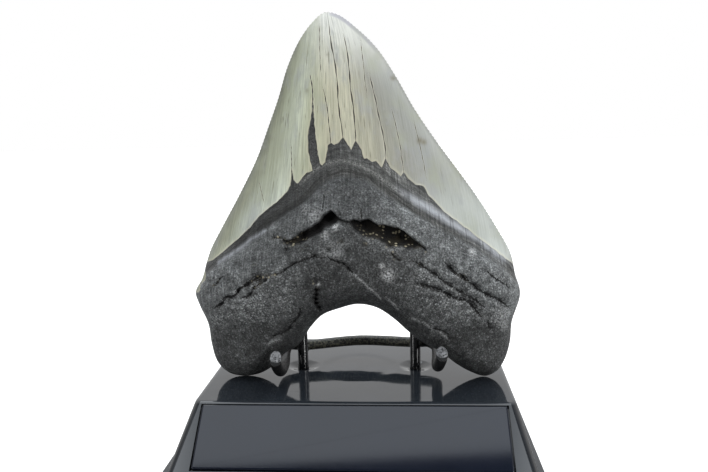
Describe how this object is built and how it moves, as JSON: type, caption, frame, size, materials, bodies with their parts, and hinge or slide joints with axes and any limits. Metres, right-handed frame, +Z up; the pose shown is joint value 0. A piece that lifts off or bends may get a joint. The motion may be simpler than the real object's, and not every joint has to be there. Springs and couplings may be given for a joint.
{
  "type": "fossil shark tooth on display stand",
  "caption": "Large fossil shark tooth standing root down on a glossy black display base, held by a bent wire cradle, with a bare nameplate on the sloped front.",
  "frame": {"origin": "centre of the base's flat underside", "axes": "+Z up, +X to the viewer's right, +Y towards the back; the nameplate and the tooth's rounded face look towards -Y"},
  "size_m": [0.118, 0.0936, 0.1492],
  "materials": {
    "base_plastic": "glossy moulded black plastic",
    "plate_plastic": "satin black plate with bevelled edges",
    "post_wire": "glossy black painted steel wire",
    "cradle_wire": "black dipped steel wire, slightly rough",
    "fossil_tooth": "mineralised enamel, satin grey-green, over rough charcoal root"
  },
  "bodies": {
    "root": {"stand_base": "base_plastic", "nameplate": "plate_plastic", "left_post": "post_wire", "right_post": "post_wire", "cradle_rod": "cradle_wire", "tooth": "fossil_tooth"}
  },
  "joints": []
}
